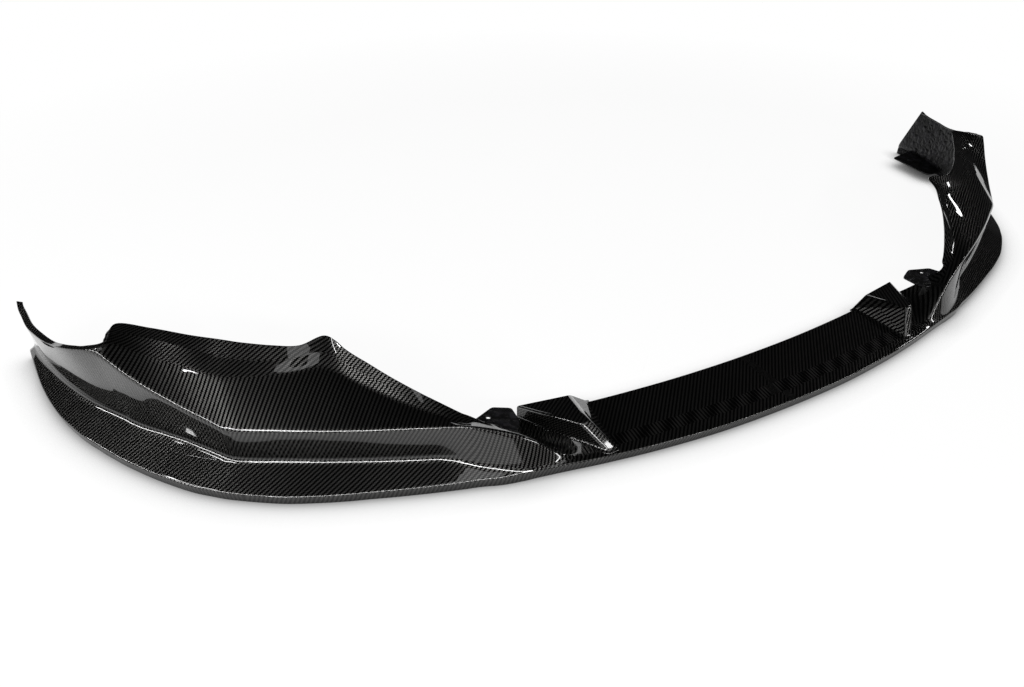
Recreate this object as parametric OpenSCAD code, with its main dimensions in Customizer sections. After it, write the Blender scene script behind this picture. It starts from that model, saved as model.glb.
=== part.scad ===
// Front splitter lip: one thin carbon laminate moulding, mirrored about its centre plane.
// Front is -Y, up is +Z, the leading edge's bottom rim rests on z = 0.

/* [Overall] */
// Half of the overall width, from the centre plane to the outermost edge
half_w = 929; // [820:1:1000]
// Front-to-rear depth from the centre of the leading edge to the horn end
lip_depth = 626; // [540:1:700]
// Thickness of the laminate
lam_t = 2.8; // [2:0.1:4]
// Radius that softens every crease
crease_r = 4.5; // [2:0.1:6]

/* [Blade] */
// Height of the blade's top surface at the leading edge
edge_h = 14; // [10:0.5:20]
// How far the bottom of the turned-down band sits behind the edge
band_in = 3; // [0:0.5:6]
// Rise of the blade's surface from the edge to the foot of the riser
blade_rise = 17; // [12:0.5:22]
// Front-to-rear chord of the blade at the centre
chord = 118; // [100:1:150]
// How far the blade's rear edge curves forward from the wedges to the centre
rear_sag = 31; // [10:1:40]

/* [Riser and plate] */
// Height of the crest over the straight part of the riser
crest_h = 83; // [74:1:95]
// Height of the crest where the fin starts
fin_h = 154; // [144:1:162]
// Height of the plate's outer rear corner
corner_h = 152; // [145:1:170]
// Height of the peak at the plate's inner rear corner
peak_h = 141; // [132:1:150]
// Inward lean of the riser's crest over its foot
wall_lean = 0; // [-3:0.5:5]

/* [Fin] */
// Height of the fin's top edge at the lowest point of its bowl
bowl_h = 114; // [106:1:122]
// Height of the horn at the rear end of the fin
horn_h = 120; // [112:1:132]
// Width of the inward-turned edge along the fin
return_w = 8; // [6:0.5:14]

/* [Floor flange] */
// Width of the flange inside the fin's rear foot
floor_w = 58; // [40:1:80]
// Length of that flange along the fin
floor_l = 118; // [80:1:130]
// Height of the flange's top face
floor_h = 22; // [18:0.5:24]

/* [Wedge] */
// Distance from the centre plane to the wedge's inner rear corner
wedge_x = 290; // [275:1:300]
// Width of the wedge's top at the rear
wedge_w = 76; // [50:1:84]
// Width of the wedge's top at the front
wedge_tip_w = 15; // [8:1:26]
// Length of the wedge's top, rear to front
wedge_l = 74; // [60:1:80]
// Height of the wedge's top at its rear edge
wedge_rear_h = 36; // [30:1:48]
// Height of the wedge's top at its front corner
wedge_front_h = 50; // [40:1:58]
// How far the sloped inner face runs out at its foot
wedge_slope = 26; // [10:1:34]

/* [Mounting tab] */
// Width of the tab behind the nose
tab_w = 42; // [30:1:50]
// Length of the tab behind the nose
tab_l = 36; // [28:1:42]
// Height of the tab's top face above the ground
tab_h = 49; // [46:1:53]

/* [Fixings] */
// Diameter of the screw holes
hole_d = 6.6; // [4:0.1:8.5]

/* [Resolution] */
// Steps between two neighbouring rail stations
sub = 3; // [2:1:4]

/* [Hidden] */
// The rails are drawn for the first half width and depth, then scaled to the named ones
kx = half_w / 929;
ky = lip_depth / 626;
base_h = edge_h + blade_rise;
floor_rise = 2;
hole_fn = 48;

// Heights along the rails, each a share of the way between two named heights
blade_h = edge_h + floor_rise;
mid_y = chord - 522;
wing_y = mid_y + rear_sag;
function mix(a, b, t) = a + (b - a) * t;
function sag(t) = mix(mid_y, wing_y, t);
function nose(t) = mix(blade_h, crest_h, t);
function rise(t) = mix(crest_h, peak_h, t);
function slant(t) = mix(crest_h, fin_h, t);
function plate(h, t) = mix(h, corner_h, t);
function rear(t) = mix(corner_h, peak_h, t);
function bowl(t) = mix(fin_h, bowl_h, t);
function horn(t) = mix(bowl_h, horn_h, t);

// A row of the fin: its top leans out over the foot, then turns in as a narrow edge,
// which rises by lift toward a point inside the fin
fin_mid = [700, -30];
function fin_row(e, f, c, foot_h, top_h, lift) = let(
    d = (fin_mid - c) / norm(fin_mid - c))
  [[e[0], e[1], edge_h], [f[0], f[1], foot_h], [c[0], c[1], top_h],
   for (k = [0.25, 0.55, 1]) [c[0] + d[0] * return_w * k, c[1] + d[1] * return_w * k, top_h + lift * k]];

// One row per station from the centre to the rear end. Each row holds the plan position
// and height of the leading edge, riser foot, crest, inner crease, inner foot and free edge.
stations = [
  // centre of the blade
  [[0, -522, edge_h], [0, -500, edge_h + 1], [0, -478, blade_h],
   [0, -452, blade_h], [0, -428, blade_h], [0, mid_y, blade_h]],
  [[110, -519, edge_h], [110, -497, edge_h + 1], [110, -476, blade_h],
   [110, -450, blade_h], [110, -426, blade_h], [110, sag(0.09), blade_h]],
  [[210, -509, edge_h], [210, -490, edge_h + 1], [210, -469, blade_h],
   [210, -444, blade_h], [210, -419, blade_h], [210, sag(0.33), blade_h]],
  [[292, -496, edge_h], [291, -481, edge_h + 1], [290, -462, blade_h],
   [289, -440, blade_h], [288, -412, blade_h], [290, sag(0.63), blade_h]],
  // tip of the nose
  [[346, -485, edge_h], [345, -479, edge_h + 2], [344, -471, blade_h + 3],
   [339, -463, blade_h + 2], [334, -450, blade_h], [334, sag(0.85), blade_h]],
  // nose
  [[386, -477, edge_h], [385, -474, edge_h + 3], [384, -459, nose(0.51)],
   [380, -445, nose(0.4)], [366, -424, blade_h + 4], [362, wing_y, blade_h]],
  [[410, -472, edge_h], [405, -469, edge_h + 5], [402, -452, nose(0.68)],
   [401, -431, nose(0.56)], [386, -412, nose(0.2)], [376, -385, blade_h + 3]],
  [[436, -466, edge_h], [428, -459, edge_h + 8], [425, -443, nose(0.81)],
   [424, -430, nose(0.75)], [424, -422, nose(0.72)], [427, -415, nose(0.7)]],
  [[460, -457, edge_h], [453, -443, edge_h + 12], [450, -435, nose(0.95)],
   [447, -413, nose(0.83)], [448, -407, nose(0.84)], [449, -401, nose(0.86)]],
  // straight part of the riser
  [[486, -449, edge_h], [475, -428, base_h - 1], [467, -429, rise(0.03)],
   [464, -414, nose(0.9)], [463, -402, nose(0.92)], [462, -391, nose(0.95)]],
  [[524, -436, edge_h], [510, -409, base_h], [506, -414, rise(0.06)],
   [505, -385, rise(0.03)], [506, -369, rise(0.21)], [507, -353, rise(0.39)]],
  [[562, -422, edge_h], [545, -392, base_h], [541, -398, rise(0.05)],
   [539, -336, rise(0.21)], [536, -331, rise(0.4)], [532, -325, rise(0.6)]],
  [[590, -411, edge_h], [571, -380, base_h], [567, -385, rise(0.01)],
   [566, -301, rise(0.4)], [564, -290, rise(0.63)], [562, -276, rise(0.9)]],
  [[614, -402, edge_h], [594, -370, base_h], [590, -374, crest_h],
   [593, -278, rise(0.6)], [586, -262, rise(0.8)], [577, -243, peak_h]],
  [[648, -387, edge_h], [628, -354, base_h], [624, -356, crest_h],
   [622, -272, rise(0.64)], [617, -262, rise(0.86)], [612, -251, peak_h + 1]],
  [[687, -367, edge_h], [662, -335, base_h], [658, -339, crest_h],
   [660, -268, rise(0.68)], [651, -254, rise(0.86)], [642, -241, rear(0.6)]],
  // kink between the straight and the slanted part
  [[735, -334, edge_h], [710, -309, base_h], [706, -311, crest_h - 1],
   [702, -253, rise(0.72)], [688, -235, rise(0.9)], [675, -220, rear(0.42)]],
  [[758, -314, edge_h], [727, -299, base_h], [723, -298, crest_h - 2],
   [721, -240, rise(0.75)], [705, -222, rise(0.92)], [690, -208, rear(0.36)]],
  [[780, -292, edge_h], [738, -284, base_h], [736, -283, slant(0.05)],
   [732, -229, rise(0.78)], [716, -210, rise(0.95)], [701, -199, rear(0.32)]],
  // slanted part
  [[811, -253, edge_h], [767, -238, base_h], [771, -243, slant(0.27)],
   [757, -202, plate(slant(0.27), 0.6)], [744, -187, plate(slant(0.27), 0.85)], [728, -177, rear(0.25)]],
  [[838, -213, edge_h], [795, -194, base_h], [805, -203, slant(0.56)],
   [788, -174, plate(slant(0.56), 0.55)], [777, -155, plate(slant(0.56), 0.84)], [768, -141, rear(0.1)]],
  [[852, -189, edge_h], [811, -169, base_h], [823, -180, slant(0.84)],
   [812, -157, plate(slant(0.84), 0.85)], [808, -135, corner_h], [805, -113, corner_h]],
  // fin with its free, inward-turned edge
  [[861, -173, edge_h], [820, -155, base_h], [834, -167, fin_h - 1],
   [829, -164, fin_h], [825, -161, fin_h + 1], [821, -155, fin_h + 2]],
  fin_row([867, -161], [830, -137], [849, -149], base_h, bowl(0.14), 1),
  fin_row([876, -144], [841, -121], [861, -133], base_h - 1, bowl(0.28), 1),
  fin_row([887, -119], [854, -99], [874, -110], base_h - 1, bowl(0.47), 1),
  fin_row([901, -81], [871, -66], [887, -75], base_h - 2, bowl(0.79), 2),
  fin_row([911, -42], [886, -28], [900, -36], base_h - 2, bowl(0.96), 3),
  fin_row([918, -5], [897, 5], [910, -4], base_h - 3, bowl_h, 4),
  fin_row([922, 26], [906, 35], [915, 28], base_h - 4, horn(0.2), 4),
  fin_row([926, 66], [913, 66], [917, 42], base_h - 5, horn(0.6), 3),
  fin_row([929, 104], [919, 97], [917, 49], edge_h + 10, horn_h - 1, 1)
];
n_st = len(stations);
n_row = len(stations[0]);

// A rail point at the named size, with the wall's lean taken up inward
function placed(p, r) = [p[0] * kx - (r == 2 && p[0] > 480 ? wall_lean : 0), p[1] * ky, p[2]];
function ctrl(i, r) = i < 0 ? flip(placed(stations[-i][r], r)) : placed(stations[min(i, n_st - 1)][r], r);
function flip(p) = [-p[0], p[1], p[2]];

// Catmull-Rom curve through four neighbouring points
function curve(a, b, c, d, t) =
  (2 * b + (c - a) * t + (2 * a - 5 * b + 4 * c - d) * t * t + (3 * b - a - 3 * c + d) * t * t * t) / 2;
function rail(i, t, r) = i < 0
  ? flip(rail(-i - 1, 1 - t, r))
  : curve(ctrl(i - 1, r), ctrl(i, r), ctrl(i + 1, r), i + 2 > n_st - 1
      ? 2 * ctrl(n_st - 1, r) - ctrl(n_st - 2, r) : ctrl(i + 2, r), t);

// Six rails at one step, with the band's lower rim in front of them
function unit(v) = v / max(norm(v), 0.0001);
function plan(v) = [v[0], v[1], 0];
function rim(e, f) = let(d = unit(plan(f - e))) [e[0] + d[0] * band_in, e[1] + d[1] * band_in, 0];
function section(k) = let(
    i = floor(k / sub),
    t = (k - i * sub) / sub,
    rows = [for (r = [0:n_row - 1]) rail(i, t, r)])
  concat([rim(rows[0], rows[1])], rows);

// A crease becomes three points on a small arc
function soft(a, p, b) = let(
    r1 = min(crease_r, norm(a - p) * 0.35),
    r2 = min(crease_r, norm(b - p) * 0.35),
    q1 = p + unit(a - p) * r1,
    q2 = p + unit(b - p) * r2)
  [q1, (q1 + 2 * p + q2) / 4, q2];
function softened(s) = concat([s[0]],
  [for (j = [1:len(s) - 2]) each (j == 5 ? [s[j]] : soft(s[j - 1], s[j], s[j + 1]))],
  [s[len(s) - 1]]);

steps = (n_st - 1) * sub;
raw_top = [for (k = [-steps:steps]) softened(section(k))];
n_k = len(raw_top);
n_j = len(raw_top[0]);

// Inner face of the laminate: every point moves in by one thickness, mitred at the folds
function along(i, j) = raw_top[min(i + 1, n_k - 1)][j] - raw_top[max(i - 1, 0)][j];
function side_n(i, j) = unit(cross(along(i, j), raw_top[i][j + 1] - raw_top[i][j]));
function mitre(i, j) = let(
    a = side_n(i, max(j - 1, 0)),
    b = side_n(i, min(j, n_j - 2)))
  (a + b) / max(1 + a * b, 0.7);
raw_under = [for (i = [0:n_k - 1]) [for (j = [0:n_j - 1]) raw_top[i][j] - mitre(i, j) * lam_t]];

function idx(i, j, s) = s * n_k * n_j + i * n_j + j;
skin_pts = concat([for (row = raw_top) each row], [for (row = raw_under) each row]);
skin_faces = concat(
  [for (i = [0:n_k - 2], j = [0:n_j - 2]) each
    [[idx(i, j, 0), idx(i, j + 1, 0), idx(i + 1, j + 1, 0)],
     [idx(i, j, 0), idx(i + 1, j + 1, 0), idx(i + 1, j, 0)],
     [idx(i, j, 1), idx(i + 1, j + 1, 1), idx(i, j + 1, 1)],
     [idx(i, j, 1), idx(i + 1, j, 1), idx(i + 1, j + 1, 1)]]],
  [for (i = [0:n_k - 2], j = [0, n_j - 1]) each (j == 0
    ? [[idx(i, j, 0), idx(i + 1, j, 0), idx(i + 1, j, 1)],
       [idx(i, j, 0), idx(i + 1, j, 1), idx(i, j, 1)]]
    : [[idx(i, j, 0), idx(i + 1, j, 1), idx(i + 1, j, 0)],
       [idx(i, j, 0), idx(i, j, 1), idx(i + 1, j, 1)]])],
  [for (j = [0:n_j - 2], i = [0, n_k - 1]) each (i == 0
    ? [[idx(i, j, 0), idx(i, j + 1, 1), idx(i, j + 1, 0)],
       [idx(i, j, 0), idx(i, j, 1), idx(i, j + 1, 1)]]
    : [[idx(i, j, 0), idx(i, j + 1, 0), idx(i, j + 1, 1)],
       [idx(i, j, 0), idx(i, j + 1, 1), idx(i, j, 1)]])]);

// Wedge: a hollow tapering block on the blade, open at the rear
wedge_rear_y = wing_y + 2;
wedge_out_x = wedge_x + wedge_w;
wedge_front_x = wedge_x + 12;
wedge_front_y = wedge_rear_y - wedge_l - 12;
wedge_foot_y = wedge_front_y - 31;
wedge_skew = 13;
sink = lam_t / 2;
foot_z = edge_h + 1 - sink;
module block(p) {
  // Four foot corners, then the four corners above them, both anticlockwise from above
  polyhedron(points = p, convexity = 2, faces = [[0, 1, 2], [0, 2, 3], [4, 6, 5], [4, 7, 6],
    [0, 5, 1], [0, 4, 5], [1, 6, 2], [1, 5, 6], [2, 7, 3], [2, 6, 7], [3, 4, 0], [3, 7, 4]]);
}
module wedge() {
  over = lam_t * 4;
  difference() {
    block([
      [wedge_front_x - 25, wedge_foot_y, foot_z],
      [wedge_front_x - 11, wedge_foot_y, foot_z],
      [wedge_out_x, wedge_rear_y, foot_z],
      [wedge_x - wedge_slope, wedge_rear_y - wedge_skew, foot_z],
      [wedge_front_x, wedge_front_y, wedge_front_h],
      [wedge_front_x + wedge_tip_w, wedge_front_y, wedge_front_h],
      [wedge_out_x, wedge_rear_y, wedge_rear_h],
      [wedge_x, wedge_rear_y - wedge_skew, wedge_rear_h]]);
    block([
      [wedge_front_x - 18, wedge_foot_y + lam_t * 5, blade_h],
      [wedge_front_x - 9, wedge_foot_y + lam_t * 5, blade_h],
      [wedge_out_x - lam_t, wedge_rear_y + over, blade_h],
      [wedge_x - wedge_slope + lam_t * 1.4, wedge_rear_y - wedge_skew + over, blade_h],
      [wedge_front_x + lam_t, wedge_front_y + lam_t, wedge_front_h - lam_t],
      [wedge_front_x + wedge_tip_w - lam_t, wedge_front_y + lam_t, wedge_front_h - lam_t],
      [wedge_out_x - lam_t, wedge_rear_y + over, wedge_rear_h - lam_t * 1.5],
      [wedge_x + lam_t * 0.4, wedge_rear_y - wedge_skew + over, wedge_rear_h - lam_t * 1.5]]);
  }
}

// Flat tab behind the nose, tilted a little, with its screw hole square to it
tab_x = 400;
tab_y = wing_y - 4;
tab_tilt = 6;
tab_hole = [tab_w * 0.42, -tab_l * 0.36];
module on_tab() {
  translate([tab_x * kx, tab_y * ky, tab_h]) rotate([0, -tab_tilt, 0]) children();
}
module tab() {
  on_tab() translate([0, 0, -lam_t]) linear_extrude(lam_t)
    polygon([[4, 5], [tab_w * 0.9, -tab_l * 0.33], [tab_w * 1.1, -tab_l * 0.94],
      [tab_w * 0.67, -tab_l * 1.55],
      [-tab_w * 0.2, -tab_l * 1.4], [-tab_w * 0.43, -tab_l * 0.89], [-tab_w * 0.48, -tab_l * 0.16]]);
}
module tab_bore() {
  on_tab() translate([tab_hole[0], tab_hole[1], -lam_t * 2])
    cylinder(d = hole_d, h = lam_t * 4, $fn = hole_fn);
}

// Flat floor flange inside the fin's rear foot
floor_y = 64;
floor_hole = [floor_w * 0.34, -floor_l * 0.33];
module on_floor() {
  translate([0, floor_y * ky, floor_h]) children();
}
module floor_flange() {
  on_floor() translate([0, 0, -lam_t]) linear_extrude(lam_t)
    polygon([[kx * 915, -2], [kx * 905 - floor_w, -14], [kx * 899 - floor_w, -floor_l],
      [kx * 888, -floor_l - 4], [kx * 899, -floor_l + 32], [kx * 906, -floor_l + 62],
      [kx * 912, -floor_l + 92]]);
}
module floor_bore() {
  on_floor() translate([kx * 905 - floor_w + floor_hole[0], floor_hole[1], -lam_t * 2])
    cylinder(d = hole_d, h = lam_t * 4, $fn = hole_fn);
}

// The origin sits at the middle of the bounding box, on the ground
low_y = min([for (p = skin_pts) p[1]]);
high_y = max([for (p = skin_pts) p[1]]);
mid_depth = (low_y + high_y) / 2;

// What stands on each half of the skin
module half_fittings() {
  wedge();
  tab();
  floor_flange();
}
module half_bores() {
  tab_bore();
  floor_bore();
}
module both_sides() {
  children();
  mirror([1, 0, 0]) children();
}

module skin() {
  polyhedron(points = skin_pts, faces = skin_faces, convexity = 12);
}

module splitter_lip() {
  color([0.05, 0.05, 0.055])
    translate([0, -mid_depth, 0]) difference() {
      union() {
        skin();
        both_sides() half_fittings();
      }
      both_sides() half_bores();
    }
}

splitter_lip();
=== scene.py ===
"""Front splitter lip: a glossy twill carbon moulding, dressed over its CAD frame."""
import logging
import math
from dataclasses import dataclass
from enum import Enum
from typing import List, Sequence, Tuple

import bmesh
import bpy
import numpy as np
from mathutils import Matrix, Vector


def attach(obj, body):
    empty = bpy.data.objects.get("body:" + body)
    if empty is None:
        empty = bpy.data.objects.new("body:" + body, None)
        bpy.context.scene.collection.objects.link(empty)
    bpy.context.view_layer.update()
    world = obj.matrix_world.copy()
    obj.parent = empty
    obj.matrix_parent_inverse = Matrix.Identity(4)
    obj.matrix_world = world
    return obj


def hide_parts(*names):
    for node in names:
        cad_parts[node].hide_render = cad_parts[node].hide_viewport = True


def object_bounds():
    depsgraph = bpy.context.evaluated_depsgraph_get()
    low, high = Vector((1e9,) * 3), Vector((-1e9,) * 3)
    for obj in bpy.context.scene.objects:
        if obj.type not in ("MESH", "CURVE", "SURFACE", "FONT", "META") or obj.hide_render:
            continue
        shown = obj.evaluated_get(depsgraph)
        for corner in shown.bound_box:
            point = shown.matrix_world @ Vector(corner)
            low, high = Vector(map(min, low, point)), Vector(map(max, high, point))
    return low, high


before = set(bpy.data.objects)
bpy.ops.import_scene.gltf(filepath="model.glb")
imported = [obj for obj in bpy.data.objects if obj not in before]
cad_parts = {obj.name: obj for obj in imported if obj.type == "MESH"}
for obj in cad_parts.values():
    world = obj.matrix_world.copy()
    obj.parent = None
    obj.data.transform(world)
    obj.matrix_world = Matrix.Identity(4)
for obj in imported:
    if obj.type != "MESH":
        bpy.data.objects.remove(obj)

LOG = logging.getLogger("splitter_lip")
CAD_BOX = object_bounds()
NODE = "splitter_lip"
CLOTH = "cloth"
FRAME_PX = 1024.0
MM_PER_M = 1000.0

Point = Tuple[float, float, float]
Plan = Tuple[float, float]
Station = Sequence[Point]


def mix(a: float, b: float, t: float) -> float:
    """Return the value a part t of the way from a to b."""
    return a + (b - a) * t


def side_word(side: float) -> str:
    """Name the side whose sign is given."""
    return "right" if side > 0 else "left"


# ---------------------------------------------------------------- sizes

@dataclass(frozen=True)
class LipSizes:
    """Named sizes of the lip in millimetres, as the CAD source has them."""

    laminate: float = 2.8
    creases: Tuple[float, ...] = (2.6, 7.5, 6.0, 5.0, 4.0)
    edge_h: float = 14.0
    blade_lift: float = 2.0
    band_in: float = 3.0
    blade_rise: float = 17.0
    chord: float = 118.0
    rear_sag: float = 31.0
    crest_h: float = 83.0
    fin_h: float = 154.0
    corner_h: float = 152.0
    peak_h: float = 141.0
    bowl_h: float = 114.0
    horn_h: float = 120.0
    return_w: float = 8.0
    return_turns: Tuple[float, ...] = (0.25, 0.55, 1.0)
    fin_mid: Plan = (700.0, -30.0)
    front_y: float = -522.0
    mid_depth: float = -208.667

    @property
    def blade_h(self) -> float:
        """Height of the flat blade's top face."""
        return self.edge_h + self.blade_lift

    @property
    def base_h(self) -> float:
        """Height of the riser's foot."""
        return self.edge_h + self.blade_rise

    @property
    def mid_y(self) -> float:
        """Rear edge of the blade on the centre plane."""
        return self.chord + self.front_y

    @property
    def wing_y(self) -> float:
        """Rear edge of the blade at the wedges."""
        return self.mid_y + self.rear_sag

    def sag(self, t: float) -> float:
        """Rear edge of the blade between the centre plane and the wedges."""
        return mix(self.mid_y, self.wing_y, t)

    def nose(self, t: float) -> float:
        """Height between the blade and the crest."""
        return mix(self.blade_h, self.crest_h, t)

    def rise(self, t: float) -> float:
        """Height between the crest and the peak."""
        return mix(self.crest_h, self.peak_h, t)

    def slant(self, t: float) -> float:
        """Height of the slanted crest between the kink and the fin."""
        return mix(self.crest_h, self.fin_h, t)

    def plate(self, low: float, t: float) -> float:
        """Height of the plate between its crest and its outer rear corner."""
        return mix(low, self.corner_h, t)

    def rear(self, t: float) -> float:
        """Height of the plate's rear edge between its corner and its peak."""
        return mix(self.corner_h, self.peak_h, t)

    def bowl(self, t: float) -> float:
        """Height of the fin's edge between its start and its lowest point."""
        return mix(self.fin_h, self.bowl_h, t)

    def horn(self, t: float) -> float:
        """Height of the fin's edge between its lowest point and the horn."""
        return mix(self.bowl_h, self.horn_h, t)

    def fin_row(self, edge: Plan, foot: Plan, top: Plan, foot_h: float, top_h: float,
                lift: float) -> Station:
        """Give one row of the fin, whose top leans out and then turns in as a narrow edge.

        Args:
            edge: Plan position of the leading edge.
            foot: Plan position of the fin's foot.
            top: Plan position of the fin's top.
            foot_h: Height of the foot.
            top_h: Height of the top.
            lift: How far the inward-turned edge rises.

        Returns:
            The row's six points.
        """
        dx, dy = self.fin_mid[0] - top[0], self.fin_mid[1] - top[1]
        reach = math.hypot(dx, dy)
        dx, dy = dx / reach * self.return_w, dy / reach * self.return_w
        turned = [(top[0] + dx * k, top[1] + dy * k, top_h + lift * k) for k in self.return_turns]
        return [(*edge, self.edge_h), (*foot, foot_h), (*top, top_h), *turned]


def lip_stations(s: LipSizes) -> List[Station]:
    """Give the rails' control points, one row per station from the centre to the rear.

    Args:
        s: The lip's sizes.

    Returns:
        Rows of six points: leading edge, riser foot, crest, inner crease, inner foot
        and free edge.
    """
    e, b, c, k, f, p = s.edge_h, s.blade_h, s.crest_h, s.corner_h, s.fin_h, s.peak_h
    w, z = s.wing_y, s.base_h
    first, second, third = s.slant(0.27), s.slant(0.56), s.slant(0.84)
    return [
        # centre of the blade
        [(0, -522, e), (0, -500, e + 1), (0, -478, b), (0, -452, b), (0, -428, b), (0, s.mid_y, b)],
        [(110, -519, e), (110, -497, e + 1), (110, -476, b), (110, -450, b), (110, -426, b),
         (110, s.sag(0.09), b)],
        [(210, -509, e), (210, -490, e + 1), (210, -469, b), (210, -444, b), (210, -419, b),
         (210, s.sag(0.33), b)],
        [(292, -496, e), (291, -481, e + 1), (290, -462, b), (289, -440, b), (288, -412, b),
         (290, s.sag(0.63), b)],
        # tip of the nose
        [(346, -485, e), (345, -479, e + 2), (344, -471, b + 3), (339, -463, b + 2), (334, -450, b),
         (334, s.sag(0.85), b)],
        # nose
        [(386, -477, e), (385, -474, e + 3), (384, -459, s.nose(0.51)), (380, -445, s.nose(0.4)),
         (366, -424, b + 4), (362, w, b)],
        [(410, -472, e), (405, -469, e + 5), (402, -452, s.nose(0.68)), (401, -431, s.nose(0.56)),
         (386, -412, s.nose(0.2)), (376, -385, b + 3)],
        [(436, -466, e), (428, -459, e + 8), (425, -443, s.nose(0.81)), (424, -430, s.nose(0.75)),
         (424, -422, s.nose(0.72)), (427, -415, s.nose(0.7))],
        [(460, -457, e), (453, -443, e + 12), (450, -435, s.nose(0.95)), (447, -413, s.nose(0.83)),
         (448, -407, s.nose(0.84)), (449, -401, s.nose(0.86))],
        # straight part of the riser
        [(486, -449, e), (475, -428, z - 1), (467, -429, s.rise(0.03)), (464, -414, s.nose(0.9)),
         (463, -402, s.nose(0.92)), (462, -391, s.nose(0.95))],
        [(524, -436, e), (510, -409, z), (506, -414, s.rise(0.06)), (505, -385, s.rise(0.03)),
         (506, -369, s.rise(0.21)), (507, -353, s.rise(0.39))],
        [(562, -422, e), (545, -392, z), (541, -398, s.rise(0.05)), (539, -336, s.rise(0.21)),
         (536, -331, s.rise(0.4)), (532, -325, s.rise(0.6))],
        [(590, -411, e), (571, -380, z), (567, -385, s.rise(0.01)), (566, -301, s.rise(0.4)),
         (564, -290, s.rise(0.63)), (562, -276, s.rise(0.9))],
        [(614, -402, e), (594, -370, z), (590, -374, c), (593, -278, s.rise(0.6)), (586, -262, s.rise(0.8)),
         (577, -243, p)],
        [(648, -387, e), (628, -354, z), (624, -356, c), (622, -272, s.rise(0.64)), (617, -262, s.rise(0.86)),
         (612, -251, p + 1)],
        [(687, -367, e), (662, -335, z), (658, -339, c), (660, -268, s.rise(0.68)), (651, -254, s.rise(0.86)),
         (642, -241, s.rear(0.6))],
        # kink between the straight and the slanted part
        [(735, -334, e), (710, -309, z), (706, -311, c - 1), (702, -253, s.rise(0.72)),
         (688, -235, s.rise(0.9)), (675, -220, s.rear(0.42))],
        [(758, -314, e), (727, -299, z), (723, -298, c - 2), (721, -240, s.rise(0.75)),
         (705, -222, s.rise(0.92)), (690, -208, s.rear(0.36))],
        [(780, -292, e), (738, -284, z), (736, -283, s.slant(0.05)), (732, -229, s.rise(0.78)),
         (716, -210, s.rise(0.95)), (701, -199, s.rear(0.32))],
        # slanted part
        [(811, -253, e), (767, -238, z), (771, -243, first), (757, -202, s.plate(first, 0.6)),
         (744, -187, s.plate(first, 0.85)), (728, -177, s.rear(0.25))],
        [(838, -213, e), (795, -194, z), (805, -203, second), (788, -174, s.plate(second, 0.55)),
         (777, -155, s.plate(second, 0.84)), (768, -141, s.rear(0.1))],
        [(852, -189, e), (811, -169, z), (823, -180, third), (812, -157, s.plate(third, 0.85)),
         (808, -135, k), (805, -113, k)],
        # fin with its free, inward-turned edge
        [(861, -173, e), (820, -155, z), (834, -167, f - 1), (829, -164, f), (825, -161, f + 1),
         (821, -155, f + 2)],
        s.fin_row((867, -161), (830, -137), (849, -149), z, s.bowl(0.14), 1),
        s.fin_row((876, -144), (841, -121), (861, -133), z - 1, s.bowl(0.28), 1),
        s.fin_row((887, -119), (854, -99), (874, -110), z - 1, s.bowl(0.47), 1),
        s.fin_row((901, -81), (871, -66), (887, -75), z - 2, s.bowl(0.79), 2),
        s.fin_row((911, -42), (886, -28), (900, -36), z - 2, s.bowl(0.96), 3),
        s.fin_row((918, -5), (897, 5), (910, -4), z - 3, s.bowl_h, 4),
        s.fin_row((922, 26), (906, 35), (915, 28), z - 4, s.horn(0.2), 4),
        s.fin_row((926, 66), (913, 66), (917, 42), z - 5, s.horn(0.6), 3),
        s.fin_row((929, 104), (919, 97), (917, 56), e + 10, s.horn_h + 3, -2),
    ]


# ---------------------------------------------------------------- finishes

class Nodes:
    """Small helper that adds and joins shader nodes of one material."""

    def __init__(self, name: str) -> None:
        """Start an empty node material.

        Args:
            name: The material's name.
        """
        self.material = bpy.data.materials.new(name)
        self.material.use_nodes = True
        self.tree = self.material.node_tree
        self.tree.nodes.clear()
        self.out = self.tree.nodes.new("ShaderNodeOutputMaterial")

    def add(self, kind: str, **settings: object) -> bpy.types.Node:
        """Add a node and set the properties or input defaults that are named.

        Args:
            kind: The node's type name.
            settings: Property names with values; a leading "in_" means an input socket.

        Returns:
            The new node.
        """
        node = self.tree.nodes.new(kind)
        for key, value in settings.items():
            if key.startswith("in_"):
                node.inputs[key[3:].replace("_", " ")].default_value = value
            else:
                setattr(node, key, value)
        return node

    def link(self, source: bpy.types.NodeSocket, target: bpy.types.NodeSocket) -> None:
        """Join two sockets."""
        self.tree.links.new(source, target)

    def math(self, operation: str, a: object, b: object = 0.0, c: object = 0.0) -> bpy.types.NodeSocket:
        """Add a Math node.

        Args:
            operation: The node's operation.
            a: A socket or a number for the first input.
            b: The second input.
            c: The third input.

        Returns:
            The node's output socket.
        """
        node = self.add("ShaderNodeMath", operation=operation)
        for i, value in enumerate((a, b, c)):
            if isinstance(value, bpy.types.NodeSocket):
                self.link(value, node.inputs[i])
            else:
                node.inputs[i].default_value = float(value)
        return node.outputs[0]


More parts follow.
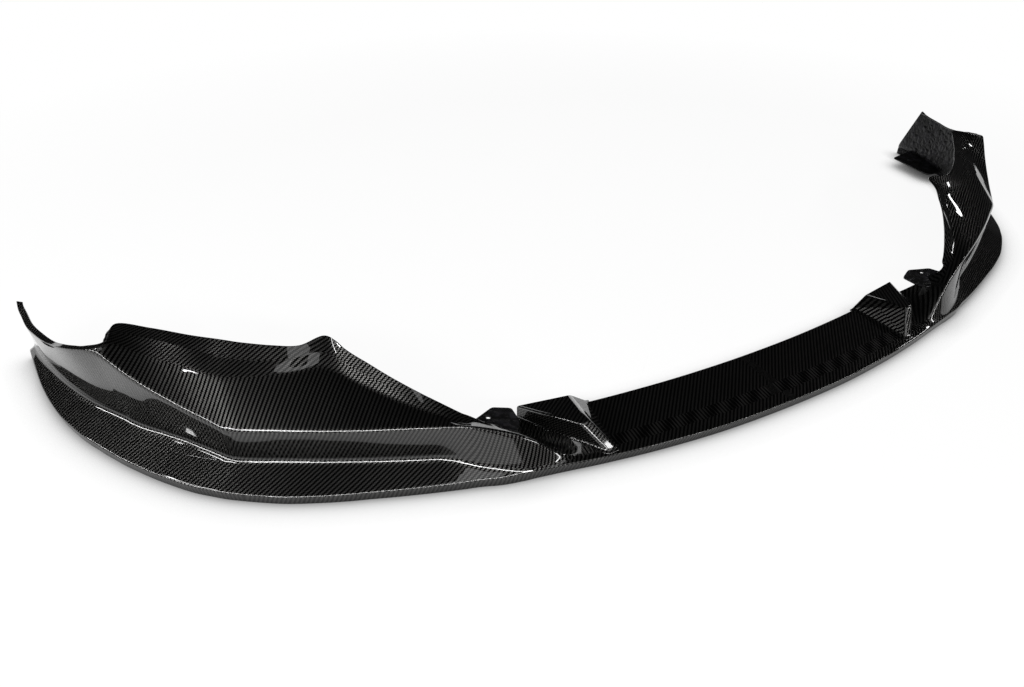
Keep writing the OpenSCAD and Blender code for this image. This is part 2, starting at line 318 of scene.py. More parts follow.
@dataclass(frozen=True)
class TwillCarbon:
    """Two-by-two twill carbon cloth under a deep, glossy clear coat.

    The weave repeats every four tows and moves on by one tow from row to row. Dark and light are painted
    light and shade on the tows of the two directions, standing in for how the light falls along each fibre
    direction.
    """

    name: str = "twill_carbon"
    tow_m: float = 0.0018
    repeat: float = 4.0
    float_share: float = 1.5
    crown_power: float = 1.8
    dark: float = 0.0015
    light: float = 0.085
    warmth: Plan = (0.985, 0.955)
    fibre_scale: float = 900.0
    patch_scale: float = 14.0
    tone_range: Plan = (0.5, 0.75)
    relief: float = 0.2
    relief_m: float = 0.0003
    roughness: float = 0.42
    glancing: float = 0.4
    coat_roughness: float = 0.03
    coat_ior: float = 1.52

    def material(self) -> bpy.types.Material:
        """Build the material from the cloth coordinates in the map named cloth.

        Returns:
            The material.
        """
        n = Nodes(self.name)
        uv = n.add("ShaderNodeUVMap", uv_map=CLOTH)
        split = n.add("ShaderNodeSeparateXYZ")
        n.link(uv.outputs[0], split.inputs[0])
        u = n.math("DIVIDE", split.outputs[0], self.tow_m)
        v = n.math("DIVIDE", split.outputs[1], self.tow_m)
        step = n.math("SUBTRACT", n.math("FLOOR", u), n.math("FLOOR", v))
        over = n.math("LESS_THAN", n.math("FLOORED_MODULO", step, self.repeat), self.float_share)
        across_u = n.math("ABSOLUTE", n.math("SUBTRACT", n.math("FRACT", u), 0.5))
        across_v = n.math("ABSOLUTE", n.math("SUBTRACT", n.math("FRACT", v), 0.5))
        picked = n.add("ShaderNodeMix", data_type="FLOAT")
        n.link(over, picked.inputs[0])
        n.link(across_u, picked.inputs[2])
        n.link(across_v, picked.inputs[3])
        off_middle = n.math("MULTIPLY", picked.outputs[0], 2.0)
        crown_relief_and_shade = n.math("SUBTRACT", 1.0, n.math("POWER", off_middle, self.crown_power))
        fibre = n.add("ShaderNodeTexNoise", in_Scale=self.fibre_scale, in_Detail=2.0)
        n.link(uv.outputs[0], fibre.inputs["Vector"])
        wide = n.add("ShaderNodeTexNoise", in_Scale=self.patch_scale, in_Detail=1.0)
        n.link(uv.outputs[0], wide.inputs["Vector"])
        # painted shade: each tow darkens towards its edges, where it dips beside its neighbours; the same
        # crown also gives the bump's height
        tone = n.math("MULTIPLY", crown_relief_and_shade, n.math("MULTIPLY_ADD", fibre.outputs[0], *self.tone_range))
        tone = n.math("MULTIPLY", tone, n.math("MULTIPLY_ADD", wide.outputs[0], *self.tone_range))
        # painted light and shade: the tows of one direction are coloured lit, those of the other shaded
        tow_light_and_shade = n.math("MULTIPLY_ADD", over, self.light - self.dark, self.dark)
        grey = n.math("MULTIPLY", tow_light_and_shade, tone)
        colour = n.add("ShaderNodeCombineColor")
        n.link(grey, colour.inputs[0])
        for part, channel in zip(self.warmth, (1, 2)):
            n.link(n.math("MULTIPLY", grey, part), colour.inputs[channel])
        bump = n.add("ShaderNodeBump", in_Strength=self.relief, in_Distance=self.relief_m)
        n.link(crown_relief_and_shade, bump.inputs["Height"])
        shader = n.add("ShaderNodeBsdfPrincipled", in_Roughness=self.roughness, in_Metallic=1.0,
                       in_Specular_Tint=(*[self.glancing] * 3, 1.0), in_Coat_Weight=1.0,
                       in_Coat_Roughness=self.coat_roughness, in_Coat_IOR=self.coat_ior)
        n.link(colour.outputs[0], shader.inputs["Base Color"])
        n.link(bump.outputs[0], shader.inputs["Normal"])
        n.link(shader.outputs[0], n.out.inputs[0])
        return n.material


@dataclass(frozen=True)
class RawResin:
    """The uncoated mould side: dark resin with a crumpled peel-ply print."""

    name: str = "raw_resin"
    pits: Tuple[float, ...] = (0.004, 0.004, 0.004, 1.0)
    ridges: Tuple[float, ...] = (0.012, 0.0117, 0.0135, 1.0)
    between: Plan = (0.46, 0.62)
    blotch_scale: float = 60.0
    fold_scale: float = 75.0
    relief_m: float = 0.003
    roughness: float = 0.3
    specular: float = 0.14

    def material(self) -> bpy.types.Material:
        """Build the material.

        Returns:
            The material.
        """
        n = Nodes(self.name)
        spot = n.add("ShaderNodeTexCoord")
        blotch = n.add("ShaderNodeTexNoise", in_Scale=self.blotch_scale, in_Detail=5.0, in_Roughness=0.6)
        n.link(spot.outputs["Object"], blotch.inputs["Vector"])
        fold = n.add("ShaderNodeTexVoronoi", feature="DISTANCE_TO_EDGE", in_Scale=self.fold_scale)
        n.link(spot.outputs["Object"], fold.inputs["Vector"])
        ramp = n.add("ShaderNodeValToRGB")
        for stop, at, tone in zip(ramp.color_ramp.elements, self.between, (self.pits, self.ridges)):
            stop.position, stop.color = at, tone
        n.link(blotch.outputs[0], ramp.inputs[0])
        bump = n.add("ShaderNodeBump", in_Strength=1.0, in_Distance=self.relief_m)
        n.link(n.math("ADD", blotch.outputs[0], fold.outputs[0]), bump.inputs["Height"])
        shader = n.add("ShaderNodeBsdfPrincipled", in_Roughness=self.roughness,
                       in_Specular_IOR_Level=self.specular)
        n.link(ramp.outputs[0], shader.inputs["Base Color"])
        n.link(bump.outputs[0], shader.inputs["Normal"])
        n.link(shader.outputs[0], n.out.inputs[0])
        return n.material


class Finish(Enum):
    """The two sides of the moulding, in the order of their material slots."""

    COAT = 0
    RAW = 1


class Strip(Enum):
    """The skin's strips between its rails, from the front band to the free edge."""

    BAND = 0
    BLADE = 1
    WALL = 2
    PLATE = 3
    UPSTAND = 4
    EDGE = 5


# ---------------------------------------------------------------- meshes

def to_metres(points: np.ndarray, s: LipSizes) -> np.ndarray:
    """Move plan positions to the part's origin and turn millimetres into metres."""
    return (points - np.array([0.0, s.mid_depth, 0.0])) / MM_PER_M


def add_mesh(name: str, verts: np.ndarray, faces: Sequence[Sequence[int]],
             finishes: Sequence[bpy.types.Material], slots: Sequence[int],
             smooth: bool = True) -> bpy.types.Object:
    """Make a mesh object.

    Args:
        name: The piece's name.
        verts: Corner positions in metres.
        faces: Corner numbers of each face.
        finishes: The materials of the object's slots.
        slots: The slot of each face.
        smooth: Whether faces shade smoothly.

    Returns:
        The new object.
    """
    mesh = bpy.data.meshes.new(name)
    mesh.from_pydata([tuple(map(float, v)) for v in verts], [], [tuple(f) for f in faces])
    for material in finishes:
        mesh.materials.append(material)
    mesh.polygons.foreach_set("material_index", list(slots))
    mesh.polygons.foreach_set("use_smooth", [smooth] * len(faces))
    mesh.update()
    piece = bpy.data.objects.new(name, mesh)
    bpy.context.scene.collection.objects.link(piece)
    return piece


def unit(v: np.ndarray) -> np.ndarray:
    """Scale vectors along the last axis to length one."""
    return v / np.maximum(np.linalg.norm(v, axis=-1, keepdims=True), 1e-9)


@dataclass(frozen=True)
class Evening:
    """A run of rails that is evened out over neighbouring rows, fading in and out."""

    rails: Tuple[int, ...]
    reach: Tuple[float, float, float, float]
    rows: int


@dataclass
class LaminateSkin:
    """The moulded skin: band, blade, riser, plate, flange and fin in one sheet.

    Its rails are, in order, the leading edge, the riser's foot, the crest, the inner
    crease, the inner foot and the free edge. Turns are in degrees, and reaches are
    distances from the centre plane in millimetres.
    """

    sizes: LipSizes
    steps: int = 8
    arc: int = 6
    rows_at: Tuple[float, ...] = (0.05, 0.5, 0.95)
    crease_share: float = 0.4
    plain_rail: int = 4
    least_mitre: float = 0.7
    evened: Tuple[Evening, ...] = (
        Evening((1, 2), (476, 505, 680, 704), 25),
        Evening((1, 2), (748, 768, 892, 908), 17),
        Evening((3, 4, 5), (462, 480, 556, 574), 25),
    )
    overhang_reach: Tuple[float, ...] = (470, 728, 750, 772, 800, 820)
    overhang: Tuple[float, ...] = (6.0, 6.0, 10.5, 14.0, 15.0, 14.5)
    overhang_fade: Tuple[float, ...] = (462, 490, 805, 835)
    kink_x: float = 722.0
    kink_blend: float = 4.0
    wall_turn: float = 22.0
    slant_turn: float = 45.0
    blade_turn: float = 4.0
    wing_turns: Tuple[float, ...] = (-20.0, 10.0, -20.0, -24.0)
    wing_from: float = 398.0
    wing_blend: float = 4.0
    cloth_mid: Plan = (430.0, 460.0)
    climb: float = 0.35
    name: str = "splitter_lip_skin"

    def rails(self) -> np.ndarray:
        """Run a smooth curve through each rail's control points.

        Returns:
            An array of stations by rails by coordinates, from the left end to the right.
        """
        right = np.array(lip_stations(self.sizes), dtype=float)
        left = right[:0:-1] * np.array([-1.0, 1.0, 1.0])
        ctrl = np.concatenate([left, right])
        first, last = 2 * ctrl[0] - ctrl[1], 2 * ctrl[-1] - ctrl[-2]
        ctrl = np.concatenate([first[None], ctrl, last[None]])
        rows: List[np.ndarray] = []
        for i in range(1, len(ctrl) - 2):
            a, b, c, d = ctrl[i - 1], ctrl[i], ctrl[i + 1], ctrl[i + 2]
            for k in range(self.steps):
                t = k / self.steps
                rows.append((2 * b + (c - a) * t + (2 * a - 5 * b + 4 * c - d) * t * t
                             + (3 * b - a - 3 * c + d) * t ** 3) / 2)
        rows.append(ctrl[-2])
        return self.lean(np.array(rows))

    def lean(self, rails: np.ndarray) -> np.ndarray:
        """Even out the wall and the upstand, and let the crest overhang the foot.

        Args:
            rails: The rails' points.

        Returns:
            The evened rails, with the foot drawn in under the crest.
        """
        out = rails.copy()
        reach = np.abs(rails[:, 2, 0])
        fade = (0, 1, 1, 0)
        for run in self.evened:
            share = np.interp(reach, run.reach, fade)[:, None]
            window = np.ones(run.rows) / run.rows
            for rail in run.rails:
                even = np.stack([np.convolve(rails[:, rail, k], window, "same") for k in range(3)], axis=1)
                out[:, rail] = out[:, rail] * (1 - share) + even * share
        foot, crest = out[:, 1], out[:, 2]
        along = unit(np.gradient(crest[:, :2], axis=0))
        away = np.stack([along[:, 1], -along[:, 0]], axis=1)
        now = ((crest - foot)[:, :2] * away).sum(axis=1)
        wanted = np.interp(reach, self.overhang_reach, self.overhang)
        share = np.interp(reach, self.overhang_fade, fade)
        foot[:, :2] -= away * ((wanted - now) * share)[:, None]
        return out

    def profile(self, rails: np.ndarray) -> Tuple[np.ndarray, List[int]]:
        """Add the band's lower rim, round each crease and fill the flats.

        Args:
            rails: The rails' points.

        Returns:
            The sheet's grid, and the strip number of each gap between its rows.
        """
        s = self.sizes
        inward = rails[:, 1] - rails[:, 0]
        inward[:, 2] = 0
        rim = rails[:, 0] + unit(inward) * s.band_in
        rim[:, 2] = 0
        rows = [rim] + [rails[:, r] for r in range(rails.shape[1])]
        grid: List[np.ndarray] = [rows[0]]
        strip: List[int] = []
        previous = rows[0]
        for j in range(1, len(rows) - 1):
            a, p, b = rows[j - 1], rows[j], rows[j + 1]
            if j == self.plain_rail + 1:
                ring = [p]
            else:
                radius, share = s.creases[j - 1], self.crease_share
                ra = np.minimum(radius, np.linalg.norm(a - p, axis=1) * share)[:, None]
                rb = np.minimum(radius, np.linalg.norm(b - p, axis=1) * share)[:, None]
                qa, qb = p + unit(a - p) * ra, p + unit(b - p) * rb
                ts = np.linspace(0, 1, self.arc + 1)
                ring = [qa * (1 - t) ** 2 + 2 * p * t * (1 - t) + qb * t * t for t in ts]
            for share in self.rows_at:
                grid.append(previous + (ring[0] - previous) * share)
                strip.append(j - 1)
            for k, row in enumerate(ring):
                grid.append(row)
                strip.append(j - 1 if k <= len(ring) // 2 else j)
            previous = ring[-1]
        for share in (*self.rows_at, 1.0):
            grid.append(previous + (rows[-1] - previous) * share)
            strip.append(len(rows) - 2)
        return np.stack(grid, axis=1), strip

    def under(self, top: np.ndarray) -> np.ndarray:
        """Offset the sheet inward by the laminate's thickness, mitred at the folds.

        Args:
            top: The outer face's grid.

        Returns:
            The inner face's grid.
        """
        along = np.empty_like(top)
        along[1:-1] = top[2:] - top[:-2]
        along[0], along[-1] = top[1] - top[0], top[-1] - top[-2]
        across = np.diff(top, axis=1)
        first = unit(np.cross(along[:, :-1], across))
        second = unit(np.cross(along[:, 1:], across))
        a = np.concatenate([first[:, :1], second], axis=1)
        b = np.concatenate([first, second[:, -1:]], axis=1)
        scale = np.maximum(1 + (a * b).sum(-1, keepdims=True), self.least_mitre)
        return top - (a + b) / scale * self.sizes.laminate

    def cloth(self, top: np.ndarray, strip: Sequence[int]) -> np.ndarray:
        """Lay the cloth on the sheet: in plan on the flats, along the rail on the walls.

        Args:
            top: The grid in millimetres.
            strip: The strip number of each gap between rows.

        Returns:
            The cloth coordinates in metres, by gap, station and row of the gap.
        """
        flats = (Strip.BLADE, Strip.PLATE, Strip.UPSTAND, Strip.EDGE)
        flat_turn = dict(zip(flats, self.wing_turns))
        out = np.zeros((len(strip), top.shape[0], 2, 2))
        x = top[:, :, 0]
        for gap, zone in enumerate(map(Strip, strip)):
            part = top[:, gap:gap + 2]
            side = np.where(part[..., 0] > 0, 1.0, -1.0)
            if zone in (Strip.BAND, Strip.WALL):
                row = strip.index(zone.value + 1)
                step = np.linalg.norm(np.diff(top[:, row, :2], axis=0), axis=1)
                run = np.concatenate([[0.0], np.cumsum(step)])
                kinks = [float(np.interp(at, x[:, row], run)) for at in (-self.kink_x, self.kink_x)]
                from_kink = run - np.where(x[:, row] < 0, kinks[0], kinks[1])
                across = np.broadcast_to(from_kink[:, None], part.shape[:2])
                beyond = np.clip((np.abs(part[..., 0]) - self.kink_x) / self.kink_blend + 0.5, 0.0, 1.0)
                turn = np.radians(self.wall_turn + (self.slant_turn - self.wall_turn) * beyond)
                up = part[..., 2]
            else:
                blade = self.blade_turn
                wing = np.clip((np.abs(part[..., 0]) - self.wing_from) / self.wing_blend, 0.0, 1.0)
                turn = blade + (flat_turn[zone] - blade) * wing
                turn = np.radians(np.where(side > 0, blade - (turn + blade) * wing, turn))
                across = part[..., 0] + side * self.cloth_mid[0]
                up = part[..., 1] + self.cloth_mid[1] + self.climb * part[..., 2]
            out[gap, :, :, 0] = across * np.cos(turn) + up * np.sin(turn)
            out[gap, :, :, 1] = up * np.cos(turn) - across * np.sin(turn)
        return out / MM_PER_M

    def build(self, coat: bpy.types.Material, raw: bpy.types.Material) -> bpy.types.Object:
        """Build the skin with its coated top and raw underside.

        Args:
            coat: The finish of the outer face.
            raw: The finish of the inner face.

        Returns:
            The skin's object.
        """
        top, strip = self.profile(self.rails())
        low = self.under(top)
        nk, nj = top.shape[:2]
        verts = to_metres(np.concatenate([top.reshape(-1, 3), low.reshape(-1, 3)]), self.sizes)
        verts = np.clip(verts, np.array(CAD_BOX[0]), np.array(CAD_BOX[1]))
        faces: List[Tuple[int, ...]] = []
        slots: List[int] = []
        corners: List[Tuple[Tuple[int, int, int], ...]] = []

        def idx(i: int, j: int, side: int) -> int:
            """Number the corner at station i and row j, on the top (0) or the underside (1)."""
            return side * nk * nj + i * nj + j

        for i in range(nk - 1):
            for j in range(nj - 1):
                ring = ((i, j), (i + 1, j), (i + 1, j + 1), (i, j + 1))
                faces.append(tuple(idx(a, b, 0) for a, b in ring))
                corners.append(tuple((a, b, j) for a, b in ring))
                slots.append(Finish.COAT.value)
                faces.append(tuple(idx(a, b, 1) for a, b in reversed(ring)))
                corners.append(tuple((a, b, j) for a, b in reversed(ring)))
                slots.append(Finish.RAW.value)
            for j, order in ((0, 1), (nj - 1, -1)):
                ring = [(i, j, 0), (i, j, 1), (i + 1, j, 1), (i + 1, j, 0)][::order]
                faces.append(tuple(idx(*c) for c in ring))
                corners.append(tuple((c[0], c[1], min(j, nj - 2)) for c in ring))
                slots.append(Finish.COAT.value)
        for j in range(nj - 1):
            for i, order in ((0, -1), (nk - 1, 1)):
                ring = [(i, j, 0), (i, j, 1), (i, j + 1, 1), (i, j + 1, 0)][::order]
                faces.append(tuple(idx(*c) for c in ring))
                corners.append(tuple((c[0], c[1], j) for c in ring))
                slots.append(Finish.COAT.value)
        skin = add_mesh(self.name, verts, faces, [coat, raw], slots)
        layer = skin.data.uv_layers.new(name=CLOTH)
        laid = self.cloth(top, strip)
        flat = [value for ring in corners for i, j, gap in ring for value in laid[gap, i, min(j - gap, 1)]]
        layer.data.foreach_set("uv", flat)
        LOG.info("skin: %d faces", len(faces))
        return skin


@dataclass
class Wedge:
    """Hollow tapering block that stands on the blade beside the nose, open at the rear."""

    sizes: LipSizes
    side: float
    x: float = 290.0
    width: float = 76.0
    tip: float = 15.0
    length: float = 74.0
    rear_h: float = 36.0
    front_h: float = 50.0
    slope: float = 26.0
    skew: float = 13.0
    rear_gap: float = 2.0
    tip_shift: float = 12.0
    tip_back: float = 12.0
    toe_out: float = 31.0
    toe_aside: Plan = (25.0, 11.0)
    toe_sunk: float = 1.0
    foot_lift: float = 0.3
    soft_edge: float = 3.2
    soft_steps: int = 4
    foot_flare: float = 5.0
    flare_ways: Tuple[Plan, ...] = ((-0.5, -0.9), (0.5, -0.9), (1.0, 0.0), (-1.0, 0.0))
    flare_drop: float = 0.7
    wall: float = 2.2
    flat_area: float = 2e-4
    side_lean: float = 0.6
    cloth_turn: float = 8.0
    cloth_climb: float = 0.6

    def corners(self) -> Tuple[List[Point], List[Point]]:
        """Lay out the wedge's corners in millimetres.

        Returns:
            The four foot corners, and the four corners above them.
        """
        s = self.sizes
        rear, fx = s.wing_y + self.rear_gap, self.x + self.tip_shift
        fy = rear - self.length - self.tip_back
        foot_z = s.blade_h + self.foot_lift
        foot = [(fx - aside, fy - self.toe_out, foot_z - self.toe_sunk) for aside in self.toe_aside]
        foot += [(self.x + self.width, rear, foot_z), (self.x - self.slope, rear - self.skew, foot_z)]
        top = [(fx, fy, self.front_h), (fx + self.tip, fy, self.front_h),
               (self.x + self.width, rear, self.rear_h), (self.x, rear - self.skew, self.rear_h)]
        return foot, top

    def build(self, coat: bpy.types.Material, raw: bpy.types.Material) -> bpy.types.Object:
        """Build the wedge's shell with soft edges and a flared foot.

        Args:
            coat: The outer finish.
            raw: The inner finish.

        Returns:
            The wedge's object.
        """
        foot, top = self.corners()
        flare: List[Point] = []
        for (px, py, pz), (ax, ay) in zip(foot, self.flare_ways):
            flare.append((px + ax * self.foot_flare, py + ay * self.foot_flare, pz - self.flare_drop))
        mesh = bmesh.new()
        points = np.array(foot + top + flare, dtype=float)
        points = to_metres(points * np.array([self.side, 1.0, 1.0]), self.sizes)
        v = [mesh.verts.new(p) for p in points]
        faces = [(4, 5, 6, 7), (0, 1, 5, 4), (1, 2, 6, 5), (3, 0, 4, 7),
                 (8, 9, 1, 0), (9, 10, 2, 1), (11, 8, 0, 3)]
        for face in faces:
            mesh.faces.new([v[i] for i in (face if self.side > 0 else face[::-1])])
        inner = [e for e in mesh.edges if len(e.link_faces) == 2]
        bmesh.ops.bevel(mesh, geom=inner, offset=self.soft_edge / MM_PER_M, segments=self.soft_steps,
                        profile=0.5, affect="EDGES", clamp_overlap=True)
        mesh.normal_update()
        layer = mesh.loops.layers.uv.new(CLOTH)
        turn = math.radians(self.cloth_turn * self.side)
        cos, sin = math.cos(turn), math.sin(turn)
        for face in mesh.faces:
            # big faces shade flat, so that the soft edges don't bend their light
            face.smooth = face.calc_area() < self.flat_area
            for loop in face.loops:
                x, y, z = loop.vert.co
                if abs(face.normal.x) > self.side_lean:
                    x += z * self.side * (1 if face.normal.x * self.side > 0 else -1)
                y += self.cloth_climb * z
                loop[layer].uv = (x * cos + y * sin, -x * sin + y * cos)
        name = f"wedge_{side_word(self.side)}"
        data = bpy.data.meshes.new(name)
        mesh.to_mesh(data)
        mesh.free()
        data.materials.append(coat)
        data.materials.append(raw)
        piece = bpy.data.objects.new(name, data)
        bpy.context.scene.collection.objects.link(piece)
        wall = piece.modifiers.new("laminate", "SOLIDIFY")
        wall.thickness, wall.offset = self.wall / MM_PER_M, -1.0
        wall.material_offset = Finish.RAW.value
        return piece


@dataclass
class ScrewPlate:
    """Flat uncoated plate with rounded corners and one screw hole."""

    sizes: LipSizes
    name: str
    outline: List[Plan]
    hole: Plan
    place: Matrix
    corner: float = 4.0
    corner_share: float = 0.45
    corner_points: int = 7
    hole_d: float = 6.6
    soft: float = 0.35
    ring_shares: Plan = (0.3, 0.65)
    rays: int = 96

    def rounded(self) -> np.ndarray:
        """Turn the outline's corners into arcs.

        Returns:
            The rounded outline's points.
        """
        p = np.array(self.outline, dtype=float)
        out: List[np.ndarray] = []
        for i in range(len(p)):
            a, b, c = p[i - 1], p[i], p[(i + 1) % len(p)]
            r = min(self.corner, *(np.linalg.norm(end - b) * self.corner_share for end in (a, c)))
            qa, qc = b + unit(a - b) * r, b + unit(c - b) * r
            for t in np.linspace(0, 1, self.corner_points):
                out.append(qa * (1 - t) ** 2 + 2 * b * t * (1 - t) + qc * t * t)
        return np.array(out)

    def reach(self, edge: np.ndarray, direction: np.ndarray) -> float:
        """Measure how far the outline lies from the hole's centre in one direction.

        Args:
            edge: The rounded outline's points.
            direction: The direction, of length one.

        Returns:
            The distance to the nearest crossing.
        """
        best = math.inf
        h = np.array(self.hole)
        for i in range(len(edge)):
            a, b = edge[i - 1] - h, edge[i] - h
            m = np.array([direction, a - b]).T
            if abs(np.linalg.det(m)) > 1e-9:
                t, w = np.linalg.solve(m, a)
                if t > 0 and -1e-6 <= w <= 1 + 1e-6:
                    best = min(best, t)
        return best

    def build(self, raw: bpy.types.Material) -> bpy.types.Object:
        """Build the plate as rings around its hole.

        Args:
            raw: The plate's finish.

        Returns:
            The plate's object.
        """
        edge = self.rounded()
        h, lam = np.array(self.hole), self.sizes.laminate
        angles = np.linspace(0, 2 * math.pi, self.rays, endpoint=False)
        dirs = [np.array((math.cos(a), math.sin(a))) for a in angles]
        rim = [h + d * self.reach(edge, d) for d in dirs]
        bore = [h + d * self.hole_d / 2 for d in dirs]
        soft = self.soft
        rows: List[List[Point]] = []
        for share, z in ((0.0, -lam), (0.0, -soft), (soft, 0.0)):
            rows.append([(*(b + (r - b) * share / np.linalg.norm(r - b)), z) for b, r in zip(bore, rim)])
        for share in self.ring_shares:
            rows.append([(*(b + (r - b) * share), 0.0) for b, r in zip(bore, rim)])
        for share, z in ((soft, 0.0), (0.0, -soft), (0.0, -lam)):
            rows.append([(*(r + (b - r) * share / np.linalg.norm(r - b)), z) for b, r in zip(bore, rim)])
        n = self.rays
        faces: List[Tuple[int, ...]] = []
        for k in range(len(rows)):
            here, there = k * n, (k + 1) % len(rows) * n
            faces += [(here + i, here + (i + 1) % n, there + (i + 1) % n, there + i) for i in range(n)]
        local = np.array([p for row in rows for p in row])
        world = np.array([self.place @ Vector(p) for p in local])
        if self.place.determinant() > 0:
            faces = [f[::-1] for f in faces]
        verts = to_metres(world, self.sizes)
        return add_mesh(self.name, verts, faces, [raw], [0] * len(faces), smooth=False)


TAB_SIZE, TAB_X, TAB_SET_BACK, TAB_H, TAB_TILT = (42.0, 36.0), 400.0, 4.0, 49.0, -6.0
FLANGE_SIZE, FLANGE_REAR_Y, FLANGE_H = (58.0, 118.0), 64.0, 22.0


def screw_plates(s: LipSizes, side: float) -> List[ScrewPlate]:
    """Lay out the tab behind the nose and the flange inside the fin's foot.

    Args:
        s: The lip's sizes.
        side: 1 for the right side and -1 for the left.

    Returns:
        The two plates of that side.
    """
    word = side_word(side)
    flip = Matrix.Diagonal((side, 1.0, 1.0, 1.0))
    w, l = TAB_SIZE
    tilt = Matrix.Rotation(math.radians(TAB_TILT), 4, "Y")
    tab = ScrewPlate(
        s, f"nose_tab_{word}",
        [(4, 5), (w * 0.9, -l * 0.33), (w * 1.1, -l * 0.94), (w * 0.67, -l * 1.55), (-w * 0.2, -l * 1.4),
         (-w * 0.43, -l * 0.89), (-w * 0.48, -l * 0.16)],
        (w * 0.42, -l * 0.36),
        flip @ Matrix.Translation((TAB_X, s.wing_y - TAB_SET_BACK, TAB_H)) @ tilt)
    w, l = FLANGE_SIZE
    flange = ScrewPlate(
        s, f"fin_foot_flange_{word}",
        [(915, -2), (905 - w, -14), (899 - w, -l), (888, -l - 4), (899, -l + 32), (906, -l + 62),
         (912, -l + 92)],
        (905 - w + w * 0.34, -l * 0.33),
        flip @ Matrix.Translation((0, FLANGE_REAR_Y, FLANGE_H)))
    return [tab, flange]


# ---------------------------------------------------------------- studio

@dataclass(frozen=True)
class Lamp:
    """One soft rectangular light that faces a spot on the part.

    The azimuth is its direction from the spot, from +Y toward +X, and the elevation is
    its height over the horizon, both in degrees. A radiance of 1 shows as white.
    """

    name: str
    over: Point
    azimuth: float
    elevation: float
    reach: float
    size: Plan
    radiance: float

    def hang(self) -> None:
        """Create the light and turn it to its spot."""
        data = bpy.data.lights.new(self.name, "AREA")
        data.shape = "RECTANGLE"
        data.size, data.size_y = self.size
        data.energy = self.radiance * math.pi * self.size[0] * self.size[1]
        a, e = math.radians(self.azimuth), math.radians(self.elevation)
        away = Vector((math.sin(a) * math.cos(e), math.cos(a) * math.cos(e), math.sin(e)))
        lamp = bpy.data.objects.new(self.name, data)
        lamp.location = Vector(self.over) + away * self.reach
        lamp.rotation_euler = (-away).to_track_quat("-Z", "Y").to_euler()
        lamp.visible_camera = False
        bpy.context.scene.collection.objects.link(lamp)


WING = (-0.7, 0.0, 0.08)


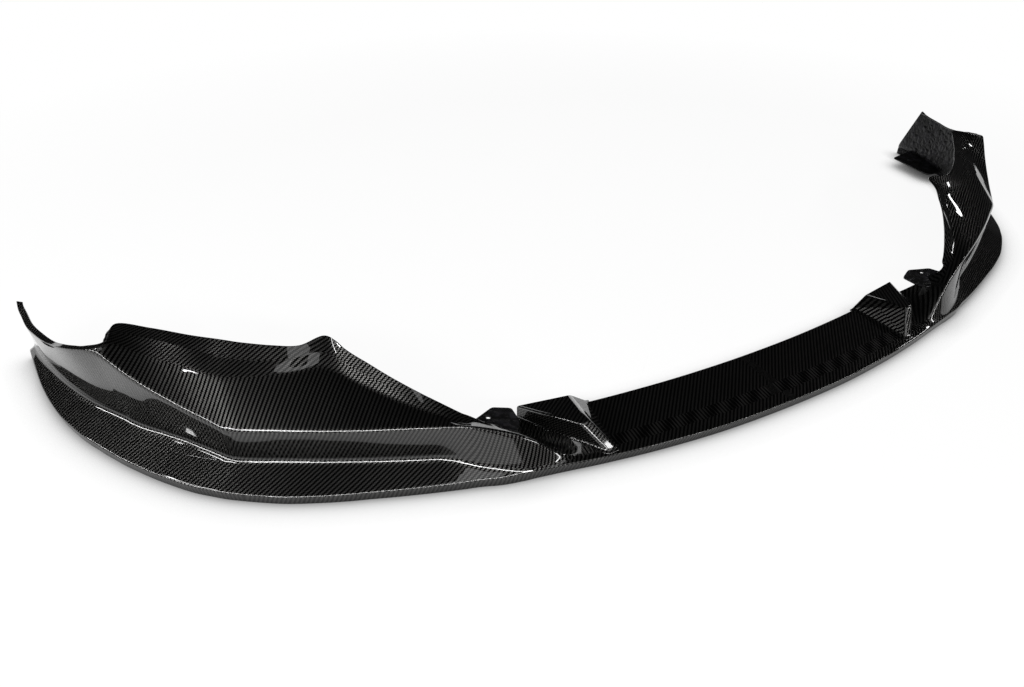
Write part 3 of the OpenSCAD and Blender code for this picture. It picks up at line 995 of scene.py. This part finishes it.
@dataclass
class Studio:
    """Pale floor, soft lights and the camera at the photograph's angle.

    The thin strips draw the lines along the creases, and the softbox fills the front.
    """

    eye: Point = (-0.7731, -0.9619, 0.7702)
    azimuth: float = -32.232
    elevation: float = 33.014
    roll: float = 2.758
    focal_px: float = 844.53
    centre_px: Plan = (69.65, -29.23)
    sensor_mm: float = 36.0
    clip_start: float = 0.05
    room: Point = (0.012, 0.012, 0.0125)
    floor_tone: float = 0.93
    floor_glow: float = 0.93
    floor_half: float = 30.0
    glow_edge: Plan = (1.1, 1.8)
    near_shade: float = 0.045
    shade_power: float = 1.5
    shade_samples: int = 8
    lamps: Tuple[Lamp, ...] = (
        Lamp("strip_left", WING, -100, 28, 1.7, (2.5, 0.09), 46),
        Lamp("strip_left_high", WING, -72, 51, 1.7, (0.8, 0.06), 40),
        Lamp("strip_corner", (-0.4, -0.15, 0.06), -134, 31, 2.1, (1.1, 0.16), 46),
        Lamp("strip_front_left", (-0.3, -0.25, 0.05), -165, 31, 2.4, (1.3, 0.16), 40),
        Lamp("strip_right", (0.2, -0.1, 0.02), 145, 32, 2.6, (2.4, 0.2), 20),
        Lamp("window_right", (0.6, -0.08, 0.11), 80, 40, 3.0, (0.25, 0.25), 20),
        Lamp("softbox_front", (0.0, 0.0, 0.0), 178, 60, 2.8, (2.0, 1.0), 1.5),
    )

    def camera(self) -> None:
        """Create the camera that frames the part as the photograph does."""
        data = bpy.data.cameras.new("camera")
        data.sensor_width = self.sensor_mm
        data.lens = self.focal_px / FRAME_PX * self.sensor_mm
        data.shift_x = -self.centre_px[0] / FRAME_PX
        data.shift_y = self.centre_px[1] / FRAME_PX
        data.clip_start = self.clip_start
        cam = bpy.data.objects.new("camera", data)
        a, e, r = (math.radians(v) for v in (self.azimuth, self.elevation, self.roll))
        back = Vector((math.sin(a) * math.cos(e), -math.cos(a) * math.cos(e), math.sin(e)))
        right = (-back).cross(Vector((0, 0, 1))).normalized()
        up = right.cross(-back)
        x = right * math.cos(r) + up * math.sin(r)
        y = -right * math.sin(r) + up * math.cos(r)
        turn = Matrix((x, y, back)).transposed().to_4x4()
        cam.matrix_world = Matrix.Translation(self.eye) @ turn
        bpy.context.scene.collection.objects.link(cam)
        bpy.context.scene.camera = cam

    def floor(self) -> None:
        """Lay the pale floor.

        The camera and mirror rays see it as white, with a painted contact shadow from ambient occlusion close
        under the part, and it keeps a share of its true shade near the part.
        """
        n = Nodes("pale_floor")
        shader = n.add("ShaderNodeBsdfDiffuse", in_Color=(*[self.floor_tone] * 3, 1.0))
        white = n.add("ShaderNodeEmission", in_Color=(1, 1, 1, 1), in_Strength=1.0)
        # painted contact shadow: ambient occlusion dims the floor's white glow close under the part
        painted_contact_shadow = n.add("ShaderNodeAmbientOcclusion", samples=self.shade_samples,
                         in_Distance=self.near_shade)
        n.link(n.math("POWER", painted_contact_shadow.outputs["AO"], self.shade_power), white.inputs["Strength"])
        path = n.add("ShaderNodeLightPath")
        blend = n.add("ShaderNodeMixShader")
        mirrored = n.math("ADD", path.outputs["Is Glossy Ray"], path.outputs["Is Transmission Ray"])
        spot = n.add("ShaderNodeTexCoord")
        far = n.add("ShaderNodeVectorMath", operation="LENGTH")
        n.link(spot.outputs["Object"], far.inputs[0])
        fade = n.add("ShaderNodeMapRange", in_From_Min=self.glow_edge[0], in_From_Max=self.glow_edge[1],
                     in_To_Min=self.floor_glow, in_To_Max=1.0)
        n.link(far.outputs["Value"], fade.inputs[0])
        seen = n.math("MULTIPLY_ADD", path.outputs["Is Camera Ray"], fade.outputs[0], mirrored)
        n.link(seen, blend.inputs[0])
        n.link(shader.outputs[0], blend.inputs[1])
        n.link(white.outputs[0], blend.inputs[2])
        n.link(blend.outputs[0], n.out.inputs[0])
        half = self.floor_half
        verts = np.array([(-half, -half, 0), (half, -half, 0), (half, half, 0), (-half, half, 0)])
        floor = add_mesh("studio_floor", verts, [(0, 1, 2, 3)], [n.material], [0])

    def world(self) -> None:
        """Give a dark room that the camera sees as white."""
        world = bpy.data.worlds.new("studio_world")
        bpy.context.scene.world = world
        world.use_nodes = True
        tree = world.node_tree
        tree.nodes.clear()
        out = tree.nodes.new("ShaderNodeOutputWorld")
        room = tree.nodes.new("ShaderNodeBackground")
        room.inputs[0].default_value = (*self.room, 1.0)
        white = tree.nodes.new("ShaderNodeBackground")
        white.inputs[0].default_value = (1, 1, 1, 1)
        path = tree.nodes.new("ShaderNodeLightPath")
        blend = tree.nodes.new("ShaderNodeMixShader")
        tree.links.new(path.outputs["Is Camera Ray"], blend.inputs[0])
        tree.links.new(room.outputs[0], blend.inputs[1])
        tree.links.new(white.outputs[0], blend.inputs[2])
        tree.links.new(blend.outputs[0], out.inputs[0])

    def build(self) -> None:
        """Set up the whole studio."""
        bpy.context.scene.view_settings.view_transform = "Standard"
        self.camera()
        self.floor()
        self.world()
        for lamp in self.lamps:
            lamp.hang()


def main() -> None:
    """Build the studio and the lip, and hand each piece to the frame."""
    logging.basicConfig(level=logging.INFO)
    sizes = LipSizes()
    Studio().build()
    coat, raw = TwillCarbon().material(), RawResin().material()
    skin = LaminateSkin(sizes).build(coat, raw)
    pieces = [skin]
    for side in (-1.0, 1.0):
        pieces.append(Wedge(sizes, side).build(coat, raw))
        pieces.extend(plate.build(raw) for plate in screw_plates(sizes, side))
    for piece in pieces:
        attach(piece, "root")
        LOG.info("%s placed", piece.name)
    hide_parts(NODE)


if __name__ == "__main__":
    main()
